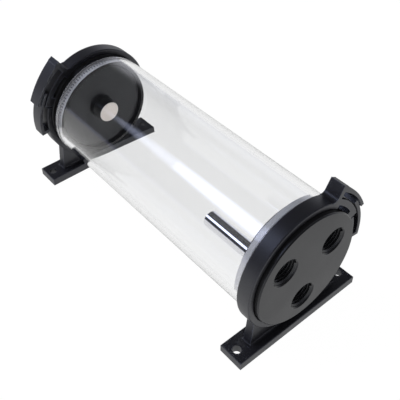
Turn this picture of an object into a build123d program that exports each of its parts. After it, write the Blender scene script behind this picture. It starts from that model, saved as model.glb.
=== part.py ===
from build123d import *
import math
import os

os.makedirs("parts", exist_ok=True)

# Overall layout: the tube lies along X, the port end at +X, the feet on Z = 0
AXIS_H = 38.5
TUBE_END_X = 70.8
BRACKET_STEP = 7.2
BRACKET_X = TUBE_END_X + BRACKET_STEP

# Clear tube
TUBE_R = 30.0
TUBE_WALL = 3.0
TUBE_BORE_R = TUBE_R - TUBE_WALL
TUBE_EDGE = 0.4

# Knurled insert rings bonded in the tube's bore, each with a collar outside the tube's end
INSERT_BORE_R = 25.2
INSERT_LEN = 4.6
INSERT_FLANGE = 0.8
INSERT_LIP = 0.6
KNURL_DEPTH = 0.4
COLLAR_R = 29.2
COLLAR_LEN = 3.7
COLLAR_X = TUBE_END_X + COLLAR_LEN

# Caps
CAP_HEIGHT = 10.1
CAP_FACE_X = COLLAR_X + CAP_HEIGHT
CAP_RIM_R = 29.2
CAP_EDGE = 0.55
CAP_SHOULDER_GAP = 0.3
SHOULDER_EDGE = 0.4
THREAD_GAP = 0.08
CAP_REACH = 2.8
CAP_INNER_X = TUBE_END_X - CAP_REACH
CAP_INNER_EDGE = 0.6
SEAL_SECTION = 1.78
SEAL_FIT = 0.06
SEAL_MEAN_R = 27.2
SEAL_TOUCH_GAP = 0.02
SEAL_SIDES = 8

# Ports, G1/4 parallel thread
PORT_COUNT = 3
PORT_CIRCLE_R = 16.8
PORT_TURN = -93.0
PORT_R = 6.58
PORT_DEPTH = 10.0
PORT_CHAMFER = 0.6
PORT_DRILL_R = 4.6

# Standpipe in the lowest port
PIPE_R = 4.5
PIPE_WALL = 0.8
PIPE_SEAT = 5.5
PIPE_REACH = 61.8
PIPE_TIP_X = CAP_FACE_X - PIPE_REACH
PIPE_TIP_EDGE = 0.25

# Stop plug of the fill cap
PLUG_R = PORT_R
PLUG_FIT = 0.06
PLUG_REACH = 22.3
PLUG_TIP_X = CAP_FACE_X - PLUG_REACH
PLUG_TIP_EDGE = 0.7
PLUG_HEAD_R = 9.5
PLUG_HEAD_T = 4.6
PLUG_HEAD_EDGE = 0.5
PLUG_HEAD_SET = 0.4
PLUG_SLOT_W = 2.2
PLUG_SLOT_D = 1.8
PLUG_SLOT_L = 14.0
RECESS_GAP = 0.5
PLUG_SEAL_SECTION = 1.5
PLUG_SEAL_FIT = 0.1

# Cutters run this far past the faces they open
CUT_PAST = 1.0

# Edges are picked by position to within this
PICK_TOL = 0.01

# Bracket ring
CLAMP_FIT = 0.05
RING_BORE_R = CAP_RIM_R + CLAMP_FIT
RING_R = 32.4
RING_W = 7.5
RING_SET = 0.55
RING_EDGE = 0.7

# Snap clasp, angles in degrees about the tube axis from +Y towards +Z
LUG_ANGLE = 61.0
LUG_BACK = 57.0
LUG_R = 40.6
LUG_ROOT_R = 2.5
INNER_ARM_R = 34.2
INNER_ARM_END = 21.0
POCKET_R = 31.3
POCKET_START = 55.0
POCKET_END = 31.0
OUTER_ARM_IN_R = 37.4
OUTER_ARM_WAIST_R = 39.1
OUTER_ARM_WAIST = 40.0
OUTER_ARM_END = 22.0
OUTER_ARM_RAKE = 2.0
CATCH_R = 36.8
CATCH_IN_R = 34.9
CATCH_ROOT = -7.0
CATCH_TIP = 34.0
OPENING_END = -4.0
TOOTH_COUNT = 3
TOOTH_H = 0.4
TOOTH_FIRST = 25.0
TOOTH_PITCH = 3.0
TOOTH_HALF = 1.2
TOOTH_SINK = 0.1

# Bracket neck and foot
NECK_T = 4.4
NECK_TOP_HALF = 25.6
NECK_FOOT_HALF = 27.4
NECK_FILLET = 1.2
NECK_SINK = 1.0
FOOT_W = 13.2
FOOT_L = 74.7
FOOT_T = 4.5
FOOT_EDGE = 0.9
SCREW_R = 2.1
SCREW_INSET = 3.85
SCREW_HALF = FOOT_L / 2 - SCREW_INSET


def polar(radius, angle):
    """Point in the bracket plane, as (y, z) from the tube axis."""
    a = math.radians(angle)
    return (radius * math.cos(a), radius * math.sin(a))


def turned(profile):
    """Solid turned about the tube axis from (axial, radial) points."""
    outline = make_face(Polyline(*profile, close=True))
    return Pos(0, 0, AXIS_H) * revolve(outline, Axis.X, 360)


def far_end(solid):
    """The same piece at the other end, half a turn about the vertical."""
    return Rot(0, 0, 180) * solid


def sector(r_in, r_out, start, end, width=RING_W):
    """Arc-shaped block in the bracket plane, centred on X = 0, axis at the origin."""
    middle = (start + end) / 2
    with BuildSketch(Plane.YZ) as shape:
        with BuildLine():
            outer = ThreePointArc(polar(r_out, start), polar(r_out, middle), polar(r_out, end))
            inner = ThreePointArc(polar(r_in, start), polar(r_in, middle), polar(r_in, end))
            Line(outer @ 0, inner @ 0)
            Line(outer @ 1, inner @ 1)
        make_face()
    return extrude(shape.sketch, width / 2, both=True)


# Tube and its bonded inserts
def tube():
    return turned([
        (-TUBE_END_X, TUBE_BORE_R),
        (TUBE_END_X, TUBE_BORE_R),
        (TUBE_END_X, TUBE_R - TUBE_EDGE),
        (TUBE_END_X - TUBE_EDGE, TUBE_R),
        (TUBE_EDGE - TUBE_END_X, TUBE_R),
        (-TUBE_END_X, TUBE_R - TUBE_EDGE),
    ])


def insert_ring():
    inner_x = TUBE_END_X - INSERT_LEN
    knurl_r = TUBE_BORE_R - KNURL_DEPTH
    return turned([
        (COLLAR_X, INSERT_BORE_R),
        (COLLAR_X, COLLAR_R),
        (TUBE_END_X, COLLAR_R),
        (TUBE_END_X, TUBE_BORE_R),
        (TUBE_END_X - INSERT_LIP, TUBE_BORE_R),
        (TUBE_END_X - INSERT_LIP, knurl_r),
        (inner_x + INSERT_FLANGE, knurl_r),
        (inner_x + INSERT_FLANGE, TUBE_BORE_R),
        (inner_x, TUBE_BORE_R),
        (inner_x, INSERT_BORE_R),
    ])


# Caps and their seals
SHOULDER_X = COLLAR_X + CAP_SHOULDER_GAP
CAP_THREAD_R = INSERT_BORE_R - THREAD_GAP
SEAL_R = SEAL_SECTION / 2
SEAL_X = COLLAR_X + SEAL_TOUCH_GAP + SEAL_R


def cap_blank():
    body = turned([
        (CAP_FACE_X, 0),
        (CAP_FACE_X, CAP_RIM_R - CAP_EDGE),
        (CAP_FACE_X - CAP_EDGE, CAP_RIM_R),
        (SHOULDER_X + SHOULDER_EDGE, CAP_RIM_R),
        (SHOULDER_X, CAP_RIM_R - SHOULDER_EDGE),
        (SHOULDER_X, CAP_THREAD_R),
        (CAP_INNER_X + CAP_INNER_EDGE, CAP_THREAD_R),
        (CAP_INNER_X, CAP_THREAD_R - CAP_INNER_EDGE),
        (CAP_INNER_X, 0),
    ])
    half = SEAL_R + SEAL_FIT
    groove = turned([
        (SHOULDER_X - CUT_PAST, SEAL_MEAN_R - half),
        (SHOULDER_X - CUT_PAST, SEAL_MEAN_R + half),
        (SEAL_X + half, SEAL_MEAN_R + half),
        (SEAL_X + half, SEAL_MEAN_R - half),
    ])
    return body - groove


def ring_seal(x, mean_r, section_r):
    """O-ring about the tube axis, its round section drawn with eight sides."""
    section = Plane.XZ * Pos(x, mean_r) * RegularPolygon(section_r, SEAL_SIDES)
    return Pos(0, 0, AXIS_H) * revolve(section, Axis.X, 360)


def port_centres():
    return [polar(PORT_CIRCLE_R, PORT_TURN + 360 / PORT_COUNT * i) for i in range(PORT_COUNT)]


def bore_x(x_low, x_high, radius, y, z):
    """Cylinder along X between two stations, at (y, z) from the tube axis."""
    middle = (x_low + x_high) / 2
    return Pos(middle, y, AXIS_H + z) * Rot(0, 90, 0) * Cylinder(radius, x_high - x_low)


def mouth_x(x_face, radius, chamfer, y, z):
    """Conical chamfer cutter at a hole's mouth on the +X side."""
    cone = Cone(radius, radius + chamfer, chamfer)
    return Pos(x_face - chamfer / 2, y, AXIS_H + z) * Rot(0, 90, 0) * cone


def port_cap():
    cap = cap_blank()
    for i, (y, z) in enumerate(port_centres()):
        drill_r = PIPE_R if i == 0 else PORT_DRILL_R
        cap -= bore_x(CAP_FACE_X - PORT_DEPTH, CAP_FACE_X, PORT_R, y, z)
        cap -= bore_x(CAP_INNER_X, CAP_FACE_X, drill_r, y, z)
        cap -= mouth_x(CAP_FACE_X, PORT_R, PORT_CHAMFER, y, z)
    return cap


def standpipe():
    y, z = port_centres()[0]
    seat_x = CAP_INNER_X + PIPE_SEAT
    pipe = bore_x(PIPE_TIP_X, seat_x, PIPE_R, y, z)
    pipe -= bore_x(PIPE_TIP_X, seat_x, PIPE_R - PIPE_WALL, y, z)
    tip = pipe.edges().filter_by(GeomType.CIRCLE).group_by(Axis.X)[0]
    return chamfer(tip, PIPE_TIP_EDGE)


# Fill cap with its recessed stop plug, built at the +X end and turned over
HEAD_X = CAP_FACE_X - PLUG_HEAD_SET - PLUG_HEAD_T
RECESS_X = HEAD_X - CAP_SHOULDER_GAP
PLUG_SEAL_SEC_R = PLUG_SEAL_SECTION / 2
PLUG_SEAL_R = PLUG_R + PLUG_SEAL_FIT + PLUG_SEAL_SEC_R
PLUG_SEAL_X = HEAD_X - SEAL_TOUCH_GAP - PLUG_SEAL_SEC_R
SEAL_POCKET_X = PLUG_SEAL_X - PLUG_SEAL_SEC_R - PLUG_SEAL_FIT
SEAL_POCKET_R = PLUG_SEAL_R + PLUG_SEAL_SEC_R + PLUG_SEAL_FIT


def fill_cap():
    cap = cap_blank()
    cap -= bore_x(RECESS_X, CAP_FACE_X, PLUG_HEAD_R + RECESS_GAP, 0, 0)
    cap -= bore_x(CAP_INNER_X, CAP_FACE_X, PLUG_R + PLUG_FIT, 0, 0)
    cap -= bore_x(SEAL_POCKET_X, RECESS_X, SEAL_POCKET_R, 0, 0)
    cap -= mouth_x(CAP_FACE_X, PLUG_HEAD_R + RECESS_GAP, CAP_EDGE, 0, 0)
    return far_end(cap)


def fill_plug():
    top_x = HEAD_X + PLUG_HEAD_T
    body = turned([
        (PLUG_TIP_X, 0),
        (PLUG_TIP_X, PLUG_R - PLUG_TIP_EDGE),
        (PLUG_TIP_X + PLUG_TIP_EDGE, PLUG_R),
        (HEAD_X, PLUG_R),
        (HEAD_X, PLUG_HEAD_R),
        (top_x - PLUG_HEAD_EDGE, PLUG_HEAD_R),
        (top_x, PLUG_HEAD_R - PLUG_HEAD_EDGE),
        (top_x, 0),
    ])
    slot = Pos(top_x, 0, AXIS_H) * Box(2 * PLUG_SLOT_D, PLUG_SLOT_L, PLUG_SLOT_W)
    return far_end(body - slot)


# Bracket: ring, clasp, neck and foot, built about the origin of the tube axis
def ring_band():
    band = extrude(Plane.YZ * Circle(RING_R), RING_W / 2, both=True)
    band = chamfer(band.edges().filter_by(GeomType.CIRCLE), RING_EDGE)
    band -= extrude(Plane.YZ * Circle(RING_BORE_R), RING_W, both=True)
    return band - sector(RING_BORE_R - CUT_PAST, RING_R + CUT_PAST, OPENING_END, LUG_BACK, RING_W + CUT_PAST)


def tooth(radius, height, angle):
    """Triangular ridge across the clasp, rising from the radius by a signed height."""
    base_r = radius - math.copysign(TOOTH_SINK, height)
    corners = [polar(base_r, angle - TOOTH_HALF), polar(base_r, angle + TOOTH_HALF),
               polar(radius + height, angle)]
    ridge = make_face(Polyline(*[(0, y, z) for y, z in corners], close=True))
    return extrude(ridge, RING_W / 2, dir=(1, 0, 0), both=True)


def outer_arm():
    """Tapered outer arm of the clasp."""
    middle = (LUG_BACK + OUTER_ARM_END) / 2
    with BuildSketch(Plane.YZ) as shape:
        with BuildLine():
            back = ThreePointArc(polar(LUG_R, LUG_ANGLE), polar(OUTER_ARM_WAIST_R, OUTER_ARM_WAIST),
                                 polar(OUTER_ARM_WAIST_R, OUTER_ARM_END))
            inside = ThreePointArc(polar(OUTER_ARM_IN_R, LUG_BACK), polar(OUTER_ARM_IN_R, middle),
                                   polar(OUTER_ARM_IN_R, OUTER_ARM_END - OUTER_ARM_RAKE))
            Line(back @ 1, inside @ 1)
            Line(back @ 0, inside @ 0)
        make_face()
    return extrude(shape.sketch, RING_W / 2, both=True)


def lug_root():
    """Concave corner where the lug rises from the ring."""
    centre_r = RING_R + LUG_ROOT_R
    spread = math.asin(LUG_ROOT_R / centre_r)
    block = sector(RING_BORE_R, centre_r * math.cos(spread), LUG_ANGLE, LUG_ANGLE + math.degrees(spread))
    y, z = polar(centre_r, LUG_ANGLE + math.degrees(spread))
    return block - Pos(0, y, z) * Rot(0, 90, 0) * Cylinder(LUG_ROOT_R, 2 * RING_W)


def clasp():
    lug = sector(RING_BORE_R, LUG_R, LUG_BACK, LUG_ANGLE) + lug_root()
    inner_arm = sector(RING_BORE_R, INNER_ARM_R, INNER_ARM_END, LUG_ANGLE)
    inner_arm -= sector(RING_BORE_R - CUT_PAST, POCKET_R, POCKET_END, POCKET_START, RING_W + CUT_PAST)
    catch = sector(CATCH_IN_R, CATCH_R, CATCH_ROOT, CATCH_TIP)
    root = sector(RING_BORE_R, CATCH_R, CATCH_ROOT, OPENING_END)
    solid = lug + inner_arm + outer_arm() + catch + root
    for i in range(TOOTH_COUNT):
        angle = TOOTH_FIRST + TOOTH_PITCH * i
        solid += tooth(CATCH_R, TOOTH_H, angle)
        solid += tooth(OUTER_ARM_IN_R, -TOOTH_H, angle + TOOTH_PITCH / 2)
    return solid


def neck():
    foot_z = FOOT_T - AXIS_H
    with BuildSketch(Plane.YZ) as shape:
        with BuildLine():
            Polyline((-NECK_FOOT_HALF, foot_z), (NECK_FOOT_HALF, foot_z), (NECK_TOP_HALF, foot_z / 2),
                     (-NECK_TOP_HALF, foot_z / 2), close=True)
        make_face()
    web = extrude(shape.sketch, NECK_T / 2, both=True)
    return web - extrude(Plane.YZ * Circle(RING_BORE_R + NECK_SINK), RING_W, both=True)


def foot():
    bar = Pos(0, 0, FOOT_T / 2 - AXIS_H) * Box(FOOT_W, FOOT_L, FOOT_T)
    top = bar.faces().sort_by(Axis.Z)[-1]
    bar = chamfer(top.edges(), FOOT_EDGE)
    for side in (-1, 1):
        bar -= Pos(0, side * SCREW_HALF, FOOT_T / 2 - AXIS_H) * Cylinder(SCREW_R, 2 * FOOT_T)
    return bar


def pedestal():
    """Foot bar with the neck standing on it, filleted where they meet."""
    solid = foot() + neck()
    top_z = FOOT_T - AXIS_H
    joint = [e for e in solid.edges().filter_by_position(Axis.Z, top_z - PICK_TOL, top_z + PICK_TOL)
             if abs(e.center().X) < NECK_T / 2 + PICK_TOL
             and abs(e.center().Y) < NECK_FOOT_HALF + PICK_TOL]
    return fillet(joint, NECK_FILLET)


def bracket():
    solid = pedestal() + Pos(RING_SET, 0, 0) * (ring_band() + clasp())
    return Pos(BRACKET_X, 0, AXIS_H) * solid


near = bracket()
pieces = {
    "reservoir_tube": tube(),
    "port_end_insert": insert_ring(),
    "fill_end_insert": far_end(insert_ring()),
    "port_cap": port_cap(),
    "port_cap_seal": ring_seal(SEAL_X, SEAL_MEAN_R, SEAL_R),
    "standpipe": standpipe(),
    "fill_cap": fill_cap(),
    "fill_cap_seal": far_end(ring_seal(SEAL_X, SEAL_MEAN_R, SEAL_R)),
    "fill_plug": fill_plug(),
    "fill_plug_seal": far_end(ring_seal(PLUG_SEAL_X, PLUG_SEAL_R, PLUG_SEAL_SEC_R)),
    "port_end_bracket": near,
    "fill_end_bracket": far_end(near),
}
for name, solid in pieces.items():
    export_step(solid, f"parts/{name}.step")
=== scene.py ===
"""Looks of a water cooling reservoir: a clear tube between two black caps, in two snap-ring brackets.

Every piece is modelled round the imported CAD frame, in metres, with the tube along X, the port end
at +X and the feet on Z = 0. Sizes below are in millimetres and are scaled where a mesh is made.
"""
from __future__ import annotations

import logging
import math
from dataclasses import dataclass
from enum import Enum
from typing import Callable, Sequence

import bpy
from mathutils import Matrix, Vector

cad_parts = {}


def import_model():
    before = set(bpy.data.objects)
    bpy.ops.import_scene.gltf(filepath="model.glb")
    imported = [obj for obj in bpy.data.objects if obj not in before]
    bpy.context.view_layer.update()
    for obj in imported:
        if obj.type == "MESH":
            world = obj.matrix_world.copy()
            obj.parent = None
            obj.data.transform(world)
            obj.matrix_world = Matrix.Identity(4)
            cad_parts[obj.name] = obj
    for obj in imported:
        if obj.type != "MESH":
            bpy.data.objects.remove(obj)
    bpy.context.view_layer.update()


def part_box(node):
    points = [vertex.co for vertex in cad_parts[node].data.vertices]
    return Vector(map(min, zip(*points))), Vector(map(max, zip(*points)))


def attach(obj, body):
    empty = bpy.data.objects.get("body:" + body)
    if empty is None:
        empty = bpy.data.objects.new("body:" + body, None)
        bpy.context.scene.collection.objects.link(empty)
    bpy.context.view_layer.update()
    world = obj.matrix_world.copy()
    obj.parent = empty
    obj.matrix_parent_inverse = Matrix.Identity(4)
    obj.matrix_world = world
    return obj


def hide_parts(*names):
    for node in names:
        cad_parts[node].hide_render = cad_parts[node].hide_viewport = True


MM = 0.001
LOG = logging.getLogger("reservoir")
SPARE = 1.0  # how far a cutter goes past what it cuts, in millimetres
NEAR = 0.01  # slack in millimetres when faces are picked by their place
WHITE = (1, 1, 1, 1)
HELIX_FOOT = 0.44  # half the foot of a thread's ridge, as a share of the pitch

Station = tuple[float, float]
Rgb = tuple[float, float, float]


class End(Enum):
    """The two ends of the tube, by the sign of their X."""

    PORT = 1
    FILL = -1

    @property
    def label(self) -> str:
        """The start of the node names at this end."""
        return self.name.lower()


class Boolean(Enum):
    """Ways in which one solid changes another."""

    UNION = "UNION"
    CUT = "DIFFERENCE"
    COMMON = "INTERSECT"


# Workshop: the hand operations that every piece is made with


def clear_selection() -> None:
    """Leaves edit mode and selects nothing."""
    if bpy.context.object and bpy.context.object.mode != "OBJECT":
        bpy.ops.object.mode_set(mode="OBJECT")
    bpy.ops.object.select_all(action="DESELECT")


@dataclass
class Work:
    """A mesh under work, and the hand operations on it."""

    obj: bpy.types.Object

    def pick(self) -> None:
        """Makes this the only selected and the active object."""
        clear_selection()
        self.obj.select_set(True)
        bpy.context.view_layer.objects.active = self.obj

    def edit(self) -> None:
        """Goes into edit mode with everything selected."""
        self.pick()
        bpy.ops.object.mode_set(mode="EDIT")
        bpy.ops.mesh.select_all(action="SELECT")

    def settle(self) -> "Work":
        """Leaves edit mode and puts place, turn and size into the mesh."""
        self.pick()
        bpy.ops.object.transform_apply(location=True, rotation=True, scale=True)
        return self

    def outward(self) -> "Work":
        """Merges doubles and turns all faces outwards."""
        self.edit()
        bpy.ops.mesh.remove_doubles(threshold=1e-7)
        bpy.ops.mesh.normals_make_consistent(inside=False)
        return self.settle()

    def apply(self, kind: str, **settings: object) -> "Work":
        """Adds a modifier and applies it.

        Args:
            kind: The modifier's type.
            **settings: Its values, by property name.

        Returns:
            This work, changed.
        """
        self.pick()
        modifier = self.obj.modifiers.new(kind.title(), kind)
        for key, value in settings.items():
            setattr(modifier, key, value)
        bpy.ops.object.modifier_apply(modifier=modifier.name)
        return self

    def combine(self, how: Boolean, *others: "Work") -> "Work":
        """Joins, cuts or intersects this solid with others, which are used up.

        Args:
            how: The operation.
            *others: The other solids.

        Returns:
            This work, changed.
        """
        for other in others:
            self.apply("BOOLEAN", operation=how.value, object=other.obj, solver="EXACT")
            bpy.data.objects.remove(other.obj)
        return self

    def paint(self, finish: "Finish", picked: Callable[[bpy.types.MeshPolygon], bool]) -> None:
        """Gives a further finish to some of the faces, once the piece is dressed.

        Args:
            finish: The finish.
            picked: Tells whether a face takes it.
        """
        materials = self.obj.data.materials
        materials.append(finish.material())
        for face in self.obj.data.polygons:
            if picked(face):
                face.material_index = len(materials) - 1

    def smooth(self, angle: float = 30.0) -> "Work":
        """Shades smoothly and keeps flat faces flat.

        Args:
            angle: Least angle of an edge that stays sharp, in degrees.

        Returns:
            This work, changed.
        """
        self.pick()
        bpy.ops.object.shade_smooth_by_angle(angle=math.radians(angle))
        return self.apply("WEIGHTED_NORMAL", keep_sharp=True, weight=80)

    def copy(self) -> "Work":
        """Copies the piece.

        Returns:
            The second piece, with its own mesh.
        """
        twin = self.obj.copy()
        twin.data = self.obj.data.copy()
        bpy.context.collection.objects.link(twin)
        return Work(twin)

    def at_end(self, end: End) -> "Work":
        """Turns a piece made at the port end to a given end.

        Args:
            end: The end where it stands.

        Returns:
            This work, changed.
        """
        if end is End.FILL:
            self.obj.rotation_euler.z = math.pi
            self.settle()
        return self

    def hand_over(self, name: str, body: str, slot: str, finish: "Finish",
                  replaces: Sequence[str] = ()) -> bpy.types.Object:
        """Names the piece, dresses it and lets it ride on its body.

        Args:
            name: The piece's name.
            body: The CAD body that carries it.
            slot: The record's material slot; not used.
            finish: Its surface finish.
            replaces: CAD nodes that it stands for.

        Returns:
            The finished object.
        """
        self.obj.name = self.obj.data.name = name
        finish.dress(self.obj)
        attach(self.obj, body)
        if replaces:
            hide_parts(*replaces)
        LOG.info("%s rides on %s, %d faces", name, body, len(self.obj.data.polygons))
        return self.obj


@dataclass(frozen=True)
class Workshop:
    """Makes raw solids about the tube axis.

    Attributes:
        axis_h: Height of the tube axis, in millimetres.
        segments: Facets round a full turn of a turned piece.
    """

    axis_h: float
    segments: int = 192

    @property
    def pivot(self) -> Vector:
        """A point on the tube axis, in metres."""
        return Vector((0, 0, self.axis_h * MM))

    def turn(self, stations: Sequence[Station], closed: bool = False, segments: int | None = None,
             y: float = 0.0, z: float = 0.0) -> Work:
        """Turns a solid as on a lathe: a circle is extruded from station to station.

        Args:
            stations: (x, radius) pairs in millimetres, from one end to the other.
            closed: Whether the last station joins the first, as on a ring.
            segments: Facets round a full turn.
            y: Offset of the piece's own axis from the tube axis.
            z: The same, upwards.

        Returns:
            The turned solid.
        """
        clear_selection()
        x, radius = stations[0]
        centre = Vector((x, y, self.axis_h + z)) * MM
        bpy.ops.mesh.primitive_circle_add(vertices=segments or self.segments, radius=radius * MM,
                                          location=centre, rotation=(0, math.pi / 2, 0))
        work = Work(bpy.context.object)
        work.edit()
        if not closed:
            bpy.ops.mesh.edge_face_add()
        for next_x, next_radius in stations[1:]:
            shift = ((next_x - x) * MM, 0, 0)
            bpy.ops.mesh.extrude_region_move(TRANSFORM_OT_translate={"value": shift})
            ratio = next_radius / radius
            centre.x = next_x * MM
            bpy.ops.transform.resize(value=(1, ratio, ratio), center_override=centre)
            x, radius = next_x, next_radius
        if closed:
            bpy.ops.mesh.select_all(action="DESELECT")
            bpy.ops.mesh.select_non_manifold(extend=False)
            bpy.ops.mesh.bridge_edge_loops()
        bpy.ops.mesh.select_all(action="SELECT")
        bpy.ops.mesh.normals_make_consistent(inside=False)
        return work.settle()

    def rod(self, x0: float, x1: float, radius: float, y: float = 0.0, z: float = 0.0,
            segments: int = 96) -> Work:
        """A plain cylinder along X, as stock or as a cutter, in millimetres."""
        return self.turn([(x0, radius), (x1, radius)], segments=segments, y=y, z=z)

    def sector(self, x: float, width: float, r_in: float, r_out: float, start: float, end: float,
               corner: float = 0.0, step: float = 2.0) -> Work:
        """An arc-shaped bar about the tube axis, spun from its cross-section.

        Args:
            x: Middle of the bar along the tube, in millimetres.
            width: Its width along the tube.
            r_in: Inner radius.
            r_out: Outer radius.
            start: Start angle in degrees, from +Y towards +Z.
            end: End angle.
            corner: Rounding of the section's corners.
            step: Angle of one facet.

        Returns:
            The closed bar.
        """
        clear_selection()
        angle = math.radians(start)
        middle = (r_in + r_out) / 2
        place = Vector((x, middle * math.cos(angle), self.axis_h + middle * math.sin(angle))) * MM
        bpy.ops.mesh.primitive_plane_add(size=1, location=place, rotation=(angle, 0, 0))
        work = Work(bpy.context.object)
        work.obj.scale = (width * MM, (r_out - r_in) * MM, 1)
        work.settle().edit()
        if corner:
            bpy.ops.mesh.bevel(affect="VERTICES", offset=corner * MM, segments=4)
        turn = math.radians(end - start)
        bpy.ops.mesh.spin(steps=max(2, round((end - start) / step)), angle=-turn, use_normal_flip=False,
                          center=self.pivot, axis=(1, 0, 0))
        return work.outward()

    def block(self, x: float, y: float, z: float, size: Sequence[float]) -> Work:
        """A box, in millimetres.

        Args:
            x: Its centre along the tube.
            y: The same, across.
            z: The same, upwards from the floor.
            size: Its size in X, Y and Z.

        Returns:
            The box.
        """
        clear_selection()
        bpy.ops.mesh.primitive_cube_add(size=1, location=Vector((x, y, z)) * MM)
        work = Work(bpy.context.object)
        work.obj.scale = Vector(size) * MM
        return work.settle()

    def helix(self, x0: float, turns: float, pitch: float, root_r: float, crest_r: float,
              y: float = 0.0, z: float = 0.0, steps: int = 48) -> Work:
        """A thread's ridge, a triangle swept along a helix about an axis along X.

        Args:
            x0: Where the ridge starts along the tube, in millimetres.
            turns: Number of turns.
            pitch: Distance from turn to turn.
            root_r: Radius of the ridge's foot.
            crest_r: Radius of its crest, inside or outside the foot.
            y: Offset of its axis from the tube axis.
            z: The same, upwards.
            steps: Facets a turn.

        Returns:
            The closed ridge.
        """
        clear_selection()
        bpy.ops.mesh.primitive_circle_add(vertices=3, radius=1, fill_type="NGON")
        work = Work(bpy.context.object)
        foot = pitch * HELIX_FOOT
        height = crest_r - root_r
        corners = [(root_r + height, 0.0), (root_r, foot), (root_r, -foot)]
        for vertex, (radius, along) in zip(work.obj.data.vertices, corners):
            vertex.co = Vector((radius, 0, along)) * MM
        work.apply("SCREW", axis="Z", angle=2 * math.pi * turns, screw_offset=pitch * turns * MM,
                   steps=round(steps * turns), render_steps=round(steps * turns), use_normal_calculate=True)
        work.edit()
        bpy.ops.mesh.fill_holes(sides=len(corners))
        work.settle()
        work.obj.rotation_euler = (0, math.pi / 2, 0)
        work.obj.location = Vector((x0, y, self.axis_h + z)) * MM
        return work.settle().outward()


# Finishes


@dataclass
class Nodes:
    """The node tree of a material or a world, with short ways to add to it."""

    owner: bpy.types.Material | bpy.types.World

    @classmethod
    def new(cls, owner: bpy.types.Material | bpy.types.World) -> "Nodes":
        """Empties an owner's node tree.

        Args:
            owner: The material or world.

        Returns:
            Its nodes.
        """
        owner.use_nodes = True
        owner.node_tree.nodes.clear()
        return cls(owner)

    def add(self, kind: str, inputs: dict[str | int, object] | None = None,
            **settings: object) -> bpy.types.Node:
        """Adds a node.

        Args:
            kind: The node's type, without its ShaderNode start.
            inputs: Values or sockets for its inputs.
            **settings: Its properties.

        Returns:
            The node.
        """
        node = self.owner.node_tree.nodes.new("ShaderNode" + kind)
        for key, value in settings.items():
            setattr(node, key, value)
        for key, value in (inputs or {}).items():
            if isinstance(value, bpy.types.NodeSocket):
                self.owner.node_tree.links.new(value, node.inputs[key])
            else:
                node.inputs[key].default_value = value
        return node

    def object_point(self, offset: Sequence[float],
                     scale: Sequence[float] = (1, 1, 1)) -> bpy.types.NodeSocket:
        """Object coordinates moved and stretched, in metres."""
        place = self.add("TexCoord").outputs["Object"]
        return self.add("Mapping", {"Vector": place, "Location": offset, "Scale": scale}).outputs["Vector"]

    def noise(self, vector: bpy.types.NodeSocket, scale: float, detail: float = 3.0) -> bpy.types.NodeSocket:
        """A noise pattern's factor."""
        return self.add("TexNoise", {"Vector": vector, "Scale": scale, "Detail": detail}).outputs["Fac"]

    def math(self, how: str, *values: object) -> bpy.types.NodeSocket:
        """The result of a sum on one or two values or sockets."""
        return self.add("Math", dict(enumerate(values)), operation=how).outputs[0]

    def vector(self, how: str, *values: object) -> bpy.types.NodeSocket:
        """The result of a sum on vectors, a number for a dot product."""
        node = self.add("VectorMath", dict(enumerate(values)), operation=how)
        return node.outputs["Value" if how == "DOT_PRODUCT" else "Vector"]

    def spread(self, value: bpy.types.NodeSocket, low: float, high: float, new_low: float = 0.0,
               new_high: float = 1.0, how: str = "LINEAR") -> bpy.types.NodeSocket:
        """A factor stretched from one range to another, in a straight line or by another curve."""
        return self.add("MapRange", {"Value": value, "From Min": low, "From Max": high, "To Min": new_low,
                                     "To Max": new_high}, interpolation_type=how).outputs["Result"]

    def mix(self, factor: bpy.types.NodeSocket, first: Rgb | bpy.types.NodeSocket,
            second: Rgb | bpy.types.NodeSocket) -> bpy.types.NodeSocket:
        """A colour between two, by a factor."""
        ends = [end if isinstance(end, bpy.types.NodeSocket) else (*end, 1) for end in (first, second)]
        return self.add("MixRGB", {0: factor, 1: ends[0], 2: ends[1]}).outputs[0]

    def blend(self, factor: bpy.types.NodeSocket, first: bpy.types.Node,
              second: bpy.types.Node) -> bpy.types.Node:
        """A shader between two, by a factor."""
        return self.add("MixShader", {0: factor, 1: first.outputs[0], 2: second.outputs[0]})

    def edge_mask(self, radius: float) -> bpy.types.NodeSocket:
        """Finds edges, convex and concave.

        Args:
            radius: How near an edge counts, in millimetres.

        Returns:
            A factor, high near an edge.
        """
        rounded = self.add("Bevel", {"Radius": radius * MM}, samples=4).outputs["Normal"]
        plain = self.add("NewGeometry").outputs["Normal"]
        return self.spread(self.vector("DOT_PRODUCT", rounded, plain), 0.99, 0.90)

    def bump(self, height: bpy.types.NodeSocket, strength: float, distance: float) -> bpy.types.NodeSocket:
        """A normal from a height, with its depth in millimetres."""
        return self.add("Bump", {"Height": height, "Strength": strength,
                                 "Distance": distance * MM}).outputs["Normal"]

    def close(self, shader: bpy.types.Node) -> bpy.types.Material | bpy.types.World:
        """Links a shader to the output.

        Args:
            shader: The last node.

        Returns:
            The finished material or world.
        """
        kind = "OutputWorld" if isinstance(self.owner, bpy.types.World) else "OutputMaterial"
        self.add(kind, {"Surface": shader.outputs[0]})
        return self.owner


@dataclass(frozen=True)
class Finish:
    """A surface finish, as a procedural material made once.

    Attributes:
        name: The material's name.
        colour: Its main colour, linear.
        roughness: Its middle roughness.
    """

    name: str
    colour: Rgb
    roughness: float

    def build(self) -> bpy.types.Material:
        """Makes the material."""
        raise NotImplementedError

    def material(self) -> bpy.types.Material:
        """The material, made when it is first asked for."""
        return bpy.data.materials.get(self.name) or self.build()

    def dress(self, obj: bpy.types.Object) -> None:
        """Gives an object this finish alone."""
        obj.data.materials.clear()
        obj.data.materials.append(self.material())


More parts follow.
